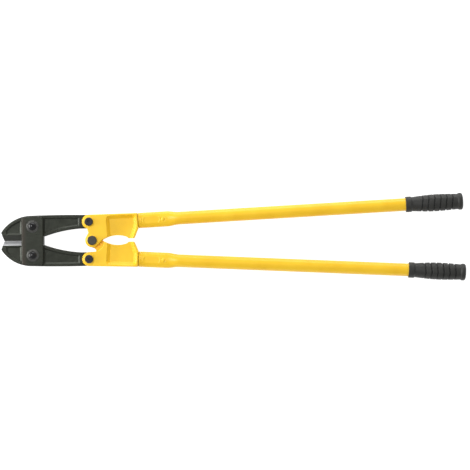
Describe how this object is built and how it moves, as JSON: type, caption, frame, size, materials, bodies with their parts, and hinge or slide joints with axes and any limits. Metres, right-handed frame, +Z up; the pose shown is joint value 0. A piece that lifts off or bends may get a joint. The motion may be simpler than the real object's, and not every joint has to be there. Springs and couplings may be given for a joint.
{
  "type": "bolt cutters",
  "caption": "Long-handled bolt cutters: two forged jaws between side straps, worked by tubular handles through a five-pivot linkage.",
  "frame": {"origin": "on the axis of the centre pivot, in the plane of the nuts' undersides that the cutters lie on", "axes": "+X from the jaws to the grips along the middle line, +Y towards the upper handle, +Z up from the surface"},
  "size_m": [0.907, 0.1716, 0.048],
  "materials": {
    "forged_jaw": "black forged steel, ground edges",
    "blackened_plate": "blackened plate",
    "painted_casting": "yellow gloss paint",
    "painted_tube": "yellow gloss paint",
    "grip_rubber": "matt black",
    "bolt_steel": "black oxide",
    "nut_steel": "black oxide"
  },
  "bodies": {
    "straps": {"front_strap": "blackened_plate", "rear_strap": "blackened_plate", "upper_jaw_bolt": "bolt_steel", "lower_jaw_bolt": "bolt_steel", "upper_jaw_washer": "bolt_steel", "lower_jaw_washer": "bolt_steel", "upper_jaw_nut": "nut_steel", "lower_jaw_nut": "nut_steel"},
    "upper_jaw": {"upper_jaw": "forged_jaw"},
    "lower_jaw": {"lower_jaw": "forged_jaw"},
    "upper_handle": {"upper_handle_head": "painted_casting", "upper_hinge_bolt": "bolt_steel", "upper_hinge_nut": "nut_steel", "centre_bolt": "bolt_steel", "centre_washer": "bolt_steel", "centre_nut": "nut_steel", "upper_tube": "painted_tube", "upper_tube_rivet": "painted_tube", "upper_grip": "grip_rubber"},
    "lower_handle": {"lower_handle_head": "painted_casting", "lower_hinge_bolt": "bolt_steel", "lower_hinge_nut": "nut_steel", "lower_tube": "painted_tube", "lower_tube_rivet": "painted_tube", "lower_grip": "grip_rubber"}
  },
  "joints": [
    {"name": "upper_jaw_opening", "type": "hinge", "parent": "straps", "child": "upper_jaw", "pos_m": [-0.1158, 0.02835, 0.02405], "axis": [0, 0, -1], "range_deg": [0, 6.54]},
    {"name": "lower_jaw_opening", "type": "hinge", "parent": "straps", "child": "lower_jaw", "pos_m": [-0.1158, -0.02835, 0.02405], "axis": [0, 0, 1], "range_deg": [0, 6.54]},
    {"name": "upper_handle_swing", "type": "hinge", "parent": "upper_jaw", "child": "upper_handle", "pos_m": [-0.0062, 0.0365, 0.02405], "axis": [0, 0, 1], "range_deg": [0, 46.53]},
    {"name": "lower_handle_swing", "type": "hinge", "parent": "lower_jaw", "child": "lower_handle", "pos_m": [-0.0062, -0.0365, 0.02405], "axis": [0, 0, -1], "range_deg": [0, 46.53]}
  ],
  "couplings": [
    {"joint": "upper_jaw_opening", "follows": "upper_handle_swing", "ratio": 0.14041},
    {"joint": "lower_jaw_opening", "follows": "upper_handle_swing", "ratio": 0.14041},
    {"joint": "lower_handle_swing", "follows": "upper_handle_swing", "ratio": 1}
  ]
}
